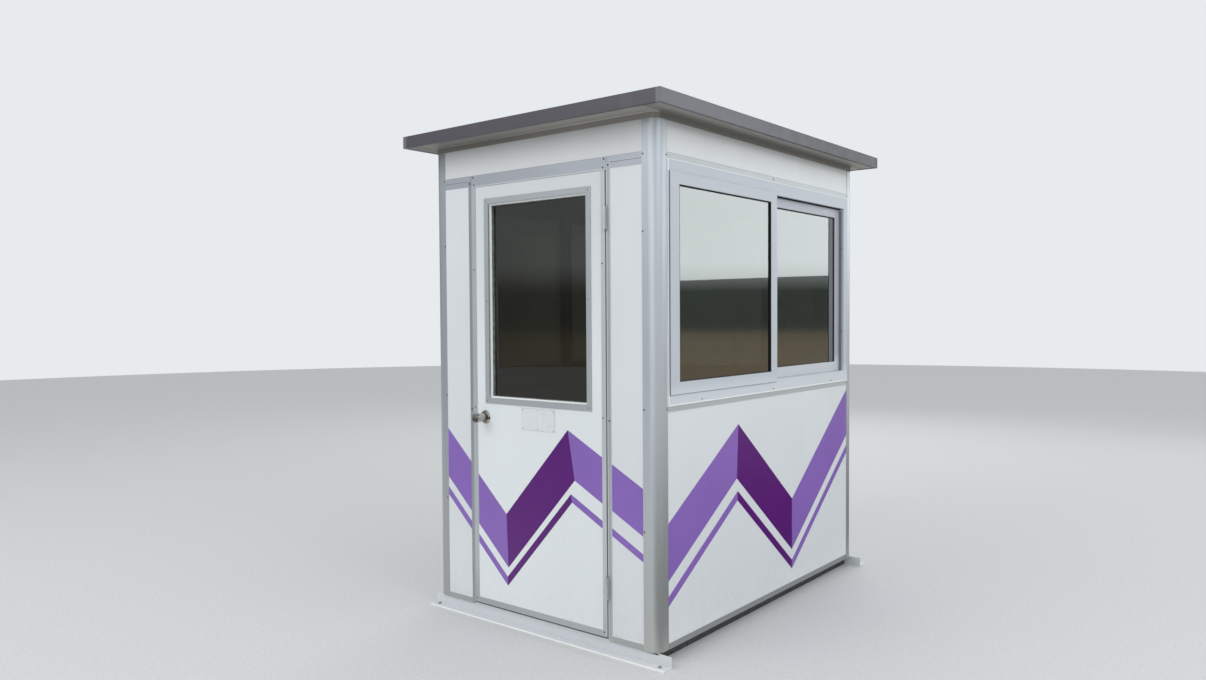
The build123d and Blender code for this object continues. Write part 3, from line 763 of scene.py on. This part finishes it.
def add_door_trims():
    """Seals between the leaf and its frame, among them pale ones of painted light and a black strip of
    painted shade in the hinge side's gap, the sweep and brush under the leaf, a gasket round its pane,
    painted highlights along the leaf's hinge edge and the hinge jamb's edges, and a black strip of
    painted shadow under the wall's foot."""
    seal = Piece("door_seals", "black_rubber")
    stop = LEAF_BACK + STOP_GAP
    for side in (-1, 1):
        x0, x1 = on_side(side, JAMB_INSIDE - 0.5, JAMB_INSIDE - 11)
        seal.box((x0, stop - 4.2, SEAL_FOOT - 2), (x1, stop + 0.3, HEAD_FOOT - 12), bevel=1.2)
    seal.box((11 - JAMB_INSIDE, stop - 4.2, HEAD_FOOT - 11.5),
             (JAMB_INSIDE - 11, stop + 0.3, HEAD_FOOT + 0.3), bevel=1.2)
    edge = Piece("door_edge_seals", "seal_grey")
    lit_seals = Piece("hinge_edge_lit_seals", "pale_lit_seal")
    # Pale seals of painted light in the hinge side's gap, and deep in it a black strip of painted shade
    for z0, z1 in beside_hinges(SEAL_FOOT, HEAD_FOOT):
        lit_seals.box((JAMB_INSIDE - 1.4, -1.8, z0), (JAMB_INSIDE + 0.4, 10, z1), bevel=0.4)
        seal.box((LEAF_HALF + 1.4, -1.2, z0), (JAMB_INSIDE - 1.2, 3, z1))
    seal.done()
    # Painted highlights along the leaf's hinge edge
    leaf_edge = Piece("leaf_edge_highlights", "edge_highlight", "door")
    for z0, z1 in beside_hinges(LEAF_FOOT + 1, LEAF_TOP - 1, gap=2):
        leaf_edge.box((LEAF_HALF - 1.6, LEAF_FACE - 0.25, z0), (LEAF_HALF + 0.9, 6, z1), bevel=0.2)
    leaf_edge.done()
    for z0, z1 in ((SEAL_FOOT, KNOB_Z - STRIKE_HALF - 2), (KNOB_Z + STRIKE_HALF + 2, HEAD_FOOT)):
        edge.box((-JAMB_INSIDE - 0.4, -2.5, z0), (-JAMB_INSIDE + 4.4, 10, z1), bevel=0.8)
    # A pale seal of painted light along the head's gap
    lit_seals.box((-JAMB_INSIDE + 4.4, -3.0, HEAD_FOOT - 4.2), (JAMB_INSIDE - 1.4, 10, HEAD_FOOT + 0.4), bevel=0.5)
    lit_seals.done()
    edge.done()
    sweep = Piece("door_sweep", "black_rubber", "door")
    sweep.box((1 - LEAF_HALF, LEAF_FACE + 1.5, LEAF_FOOT - 4.5),
              (LEAF_HALF - 1, LEAF_FACE + 4, LEAF_FOOT + 1), bevel=0.5)
    sweep.done()
    brush = Piece("door_brush", "grey_brush", "door")
    brush.box((8 - LEAF_HALF, 10, LEAF_FOOT - 4.5), (LEAF_HALF - 8, 24, LEAF_FOOT + 0.3), bevel=0.8)
    brush.done()
    gasket = Piece("door_pane_gasket", "gasket_grey", "door")
    x0, x1, z0, z1 = DOOR_LIGHT
    gasket.ring((x0 + BEAD, x1 - BEAD, z0 + BEAD, z1 - BEAD), 2.5, LEAF_SKIN + 16.4, 25.2)
    gasket.done()
    # Painted highlights on both edges of the hinge jamb
    jamb = Piece("jamb_edge_highlights", "edge_highlight")
    for x in (JAMB_INSIDE + 0.6, JAMB_OUTSIDE - 2.6):
        jamb.box((x, -0.5, WALL_FOOT + 1), (x + 2.2, 0.3, HEAD_LINE - 1), bevel=0.2)
    jamb.done()
    # A black strip that paints the shadow under the wall's foot
    foot = Piece("foot_shadow_strip", "black_rubber")
    foot.prism([(470, WALL_FOOT), (HALF_WIDTH - 30, WALL_FOOT - 4), (HALF_WIDTH - 6, WALL_FOOT - 4),
                (HALF_WIDTH - 6, WALL_FOOT)], 5, 8.2)
    foot.done()


def add_screws():
    """Screws beside the corner posts, in the door and its frame and in the windows, by their x and z."""
    end_wall_screws = ((616, 2154), (614, 1831), (616, 1079), (616, 560))
    side_wall_screws = ((920, 2151), (920, 1079))
    door_frame_screws = ((402, 2118), (408, 2155), (431, 2127), (431, 1020))
    sill_screws = ((-649, 1104), (20, 1104), (700, 1104))
    fixed = Piece("frame_screws", "screw_steel", smooth=True)
    dark = Piece("door_frame_screws", "dark_screw", smooth=True)
    for side in (-1, 1):
        for wall in ("front", "rear"):
            for x, z in end_wall_screws:
                fixed.screw((side * x, 0.2, z), wall, 3.8)
        for wall in ("right", "left"):
            for x, z in side_wall_screws:
                fixed.screw((side * x, 0.1, z), wall, 3.4)
        for x, z in door_frame_screws:
            dark.screw((side * x, 0.1, z), radius=4.2)
    for wall in ("right", "left"):
        fixed.screw((25, 0.1, 2152), wall, 3.6)
        for x, z in sill_screws:
            fixed.screw((x, WINDOW_FACE + 0.1, z), wall, 3.2)
        for z in (1378, 1850):
            fixed.screw((OPENING_X - 1.2, 10, z), wall, 3.6, outwards=(-1, 0, 0))
    fixed.done()
    dark.done()

    leaf = Piece("door_screws", "screw_steel", "door", smooth=True)
    for x in (LATCH_FLANGE / 2 - LEAF_HALF, LEAF_HALF - HINGE_FLANGE / 2 - 4):
        for z in (1704, 1031, LEAF_FOOT + 20):
            leaf.screw((x, LEAF_FACE + 0.1, z), radius=3.4)
    x0, x1, z0, z1 = DOOR_LIGHT
    for x in (x0 - 13, x1 + 13):
        for z in (z0 - 13, z1 + 13, (z0 + z1) / 2):
            leaf.screw((x, LEAF_SKIN - GLAZING_PROUD + 0.1, z), radius=2.6, height=1.4)
    leaf.done()


def add_joint_lines():
    """Dark hairline joints where sheets and rails meet."""
    lines = Piece("joint_lines", "grey_brush")
    walls = (("front", FRONT_EDGE), ("rear", FRONT_EDGE), ("right", SIDE_EDGE), ("left", SIDE_EDGE))
    for wall, half in walls:
        lines.box((-half, 1.2, RAIL_TOP - 0.1), (half, 1.8, RAIL_TOP + 1.1), wall)
        if wall == "front":
            continue
        lines.box((-half, -0.12, HEAD_LINE), (half, 0.6, HEAD_LINE + 0.9), wall)
        for side in (-1, 1):
            x0, x1 = on_side(side, half, half + 0.7)
            for z0, z1 in ((WALL_FOOT + 1, SILL_LINE), (HEAD_LINE, CROWN_FOOT - 0.5)):
                lines.box((x0, -0.1, z0), (x1, 0.6, z1), wall)
    for side in (-1, 1):
        x0, x1 = on_side(side, JAMB_OUTSIDE, FRONT_EDGE)
        lines.box((x0, -0.12, HEAD_LINE - 0.8), (x1, 0.6, HEAD_LINE + 0.8))
        seam = side * JAMB_INSIDE
        lines.box((seam - 0.9, -0.12, HEAD_FOOT), (seam + 0.9, 0.6, RAIL_TOP))
    lines.done()


def add_name_plate():
    """A bare plate on a thin gasket, with six small screws."""
    x0, x1, z0, z1, radius = -90, 118, 944, 1045, 5
    outline = []
    for cx, cz, start in ((x1 - radius, z1 - radius, 0), (x0 + radius, z1 - radius, 90),
                          (x0 + radius, z0 + radius, 180), (x1 - radius, z0 + radius, 270)):
        for step in range(5):
            angle = math.radians(start + 22.5 * step)
            outline.append((cx + radius * math.cos(angle), cz + radius * math.sin(angle)))
    plate = Piece("name_plate", "plate", "door")
    plate.prism(outline[::-1], LEAF_SKIN - 1.6, LEAF_SKIN - 0.4, bevel=0.3)
    plate.done()
    middle_x, middle_z = (x0 + x1) / 2, (z0 + z1) / 2
    grown = [(middle_x + (x - middle_x) * 1.008, middle_z + (z - middle_z) * 1.016) for x, z in outline]
    backing = Piece("name_plate_gasket", "grey_rubber", "door")
    backing.prism(grown[::-1], LEAF_SKIN - 0.5, LEAF_SKIN + 0.1)
    backing.done()
    screws = Piece("name_plate_screws", "dark_screw", "door", smooth=True)
    for x in (x0 + 8, middle_x, x1 - 8):
        for z in (z0 + 8, z1 - 8):
            screws.screw((x, LEAF_SKIN - 1.5, z), radius=2.2, height=1.2)
    screws.done()


def add_hardware():
    """A painted highlight along the toe of each anchor angle, the latch's plates and the four ground bolts.
    """
    # A painted highlight along each anchor angle's toe
    toe = Piece("anchor_toe_highlights", "toe_highlight")
    half = HALF_WIDTH + ANGLE_OVERRUN - 0.5
    for wall, shift in ANGLES:
        toe.box((shift - half, -ANGLE_REACH - 0.3, 0.6),
                (shift + half, 5 - ANGLE_REACH, ANGLE_THICKNESS + 0.25), wall, 0.3)
    toe.done()
    face = Piece("latch_faceplate", "hardware_steel", "door")
    face.box((-LEAF_HALF - 0.8, 4, KNOB_Z - 28), (-LEAF_HALF + 0.2, 29, KNOB_Z + 28), bevel=0.2)
    for z in (KNOB_Z - 21, KNOB_Z + 21):
        face.screw((-LEAF_HALF - 0.7, 16, z), radius=3.4, height=0.9, outwards=(-1, 0, 0))
    face.done()
    strike = Piece("strike_plate", "hardware_steel")
    strike.box((-JAMB_INSIDE - 0.2, 2, KNOB_Z - STRIKE_HALF),
               (-JAMB_INSIDE + 0.9, 31, KNOB_Z + STRIKE_HALF), bevel=0.2)
    for z in (KNOB_Z - 27, KNOB_Z + 27):
        strike.screw((-JAMB_INSIDE + 0.8, 16, z), radius=3.4, height=0.9, outwards=(1, 0, 0))
    strike.done()
    # A black plate paints the shade inside the strike's hole
    hole = Piece("strike_hole", "black_rubber")
    hole.box((-JAMB_INSIDE + 0.5, 8, KNOB_Z - 12), (-JAMB_INSIDE + 1.2, 24, KNOB_Z + 12))
    hole.done()

    bolts = Piece("ground_bolts", "galvanised")
    washer = [(9, 0), (9, 1.4), (8.5, 1.8), (0, 1.8)]
    head = [(6.5, 1.8), (6.5, 5.4), (5.4, 6.4), (0, 6.4)]
    for wall, shift in ANGLES:
        for side in (-1, 1):
            place = (shift + side * HALF_WIDTH, -ANCHOR_FROM_WALL, ANGLE_THICKNESS)
            bolts.turned(washer, place, wall, 28, outwards=(0, 0, 1))
            bolts.turned(head, place, wall, 6, outwards=(0, 0, 1))
    bolts.done()


def add_roof_details():
    """Folds at the fascia's corners, and the lap seams of the deck with sealant beside them."""
    folds = Piece("fascia_folds", "fascia_metal")
    half_x, half_y = HALF_WIDTH + SIDE_OVERHANG, HALF_DEPTH + END_OVERHANG
    for wall, half, out in (("front", half_x, END_OVERHANG), ("rear", half_x, END_OVERHANG),
                            ("right", half_y, SIDE_OVERHANG), ("left", half_y, SIDE_OVERHANG)):
        for side in (-1, 1):
            x0, x1 = on_side(side, half, half - 15)
            folds.box((x0, -out - 0.7, SOFFIT_LINE + 0.5), (x1, -out + 0.2, FASCIA_TOP - 0.5), wall, 0.2)
    folds.done()
    seams = Piece("deck_seams", "fascia_metal")
    caulk = Piece("deck_sealant", "seal_grey")
    for y in (HALF_DEPTH - 370, HALF_DEPTH + 370):
        seams.box((6 - half_x, y - 16, DECK - 0.2), (half_x - 6, y + 16, DECK + 1.4), bevel=0.5)
        for line in (y - 18, y + 18):
            caulk.box((6 - half_x, line - 3, DECK - 0.2), (half_x - 6, line + 3, DECK + 0.9), bevel=0.4)
    seams.done()
    caulk.done()


# Stage: pale floor and world, soft lamps
DAYLIGHT = (0.95, 0.975, 1.0, 1)
BACKDROP = srgb(232, 235, 238)
# What the panes and the metal mirror, by height from 0 straight down to 1 straight up: pale ground, a dark
# band along the horizon and a pale sky
MIRRORED = ((0.0, (96, 92, 86)), (0.47, (158, 142, 118)), (0.4868, (146, 130, 104)), (0.4925, (52, 54, 48)),
            (0.512, (52, 58, 54)), (0.527, (222, 230, 232)), (1.0, (236, 242, 244)))
# The floor as they mirror it: its first tone, and how it turns to others over stretches in metres
MIRRORED_FLOOR = (150, 148, 145)
FLOOR_STRETCHES = (("Y", -3.4, -2.6, (215, 213, 208)), ("X", 0.8, 0.95, (44, 40, 36)),
                   ("X", 2.4, 3.6, (172, 156, 132)))


def add_world():
    world = bpy.data.worlds.new("world")
    bpy.context.scene.world = world
    world.use_nodes = True
    n = Nodes(world.node_tree, "Generated")
    light, seen, mirrored = n.tree.nodes["Background"], n.new("Background"), n.new("Background")
    for node, colour, strength in ((light, DAYLIGHT, 0.8), (seen, BACKDROP, 1)):
        node.inputs["Color"].default_value = colour
        node.inputs["Strength"].default_value = strength
    tones = n.new("ValToRGB")
    points = tones.color_ramp.elements
    while len(points) < len(MIRRORED):
        points.new(0.5)
    for point, (place, colour) in zip(points, MIRRORED):
        point.position = place
        point.color = srgb(*colour)
    n.link(n.math("ADD", n.math("MULTIPLY", n.axis("Z"), 0.5), 0.5), tones.inputs["Fac"])
    n.link(tones.outputs["Color"], mirrored.inputs["Color"])
    n.link(n.ramp(n.axis("X"), -1.0, 0.4, 0.25, 0.9), mirrored.inputs["Strength"])
    shown = light.outputs[0]
    for kind, source in (("Glossy", mirrored), ("Transmission", seen), ("Camera", seen)):
        shown = n.blend(n.ray(kind), shown, source.outputs[0])
    n.link(shown, n.tree.nodes["World Output"].inputs["Surface"])


def add_floor():
    """A plain pale floor, which the panes and the metal mirror in the tones of open ground."""
    bpy.ops.mesh.primitive_circle_add(vertices=96, radius=22, fill_type="NGON")
    floor = bpy.context.object
    floor.name = "floor"
    n = Material("floor")
    n.finish(n.mix(n.ramp(n.noise(60), 0.3, 0.7), srgb(211, 212, 212), srgb(204, 205, 205)), 0.8)
    ground = srgb(*MIRRORED_FLOOR)
    for letter, start, end, tone in FLOOR_STRETCHES:
        ground = n.mix(n.ramp(n.axis(letter), start, end), ground, srgb(*tone))
    outdoors = n.new("BsdfDiffuse")
    n.link(ground, outdoors.inputs["Color"])
    n.surface(n.blend(n.ray("Glossy"), n.shader.outputs[0], outdoors.outputs[0]))
    floor.data.materials.append(materials["floor"])


def add_lamp(name, place, size, power, aim=(0, 0, 1.2), colour=(1, 1, 1)):
    data = bpy.data.lights.new(name, "AREA")
    data.color = colour
    data.shape = "RECTANGLE"
    data.size, data.size_y = size
    data.energy = power
    lamp = bpy.data.objects.new(name, data)
    lamp.location = place
    lamp.rotation_euler = (Vector(aim) - Vector(place)).to_track_quat("-Z", "Y").to_euler()
    bpy.context.collection.objects.link(lamp)
    return lamp


def add_lamps():
    """Soft lamps: three round the booth, one mirrored in the window and one in the near corner post."""
    add_lamp("key", (-2.4, -6.8, 6.0), (5, 4), 168)
    add_lamp("side", (7.0, -0.8, 5.8), (5, 4), 143)
    add_lamp("back", (-3.0, 7.0, 5.0), (5, 4), 110)
    add_lamp("window_sheen", (5.9, 9.0, 3.35), (6.4, 2.6), 80, (5.9, 0, 3.35), (0.93, 1.0, 0.99))
    sheen = add_lamp("post_sheen", (1.8, -7.4, 2.4), (5.6, 4.6), 54, (0.69, -0.99, 2.0))
    sheen.visible_diffuse = False


make_materials()
add_camera()
dress_nodes()
add_film()
add_window_trims()
add_door_trims()
add_screws()
add_joint_lines()
add_name_plate()
add_hardware()
add_roof_details()
add_world()
add_floor()
add_lamps()
bpy.context.scene.view_settings.view_transform = "Standard"
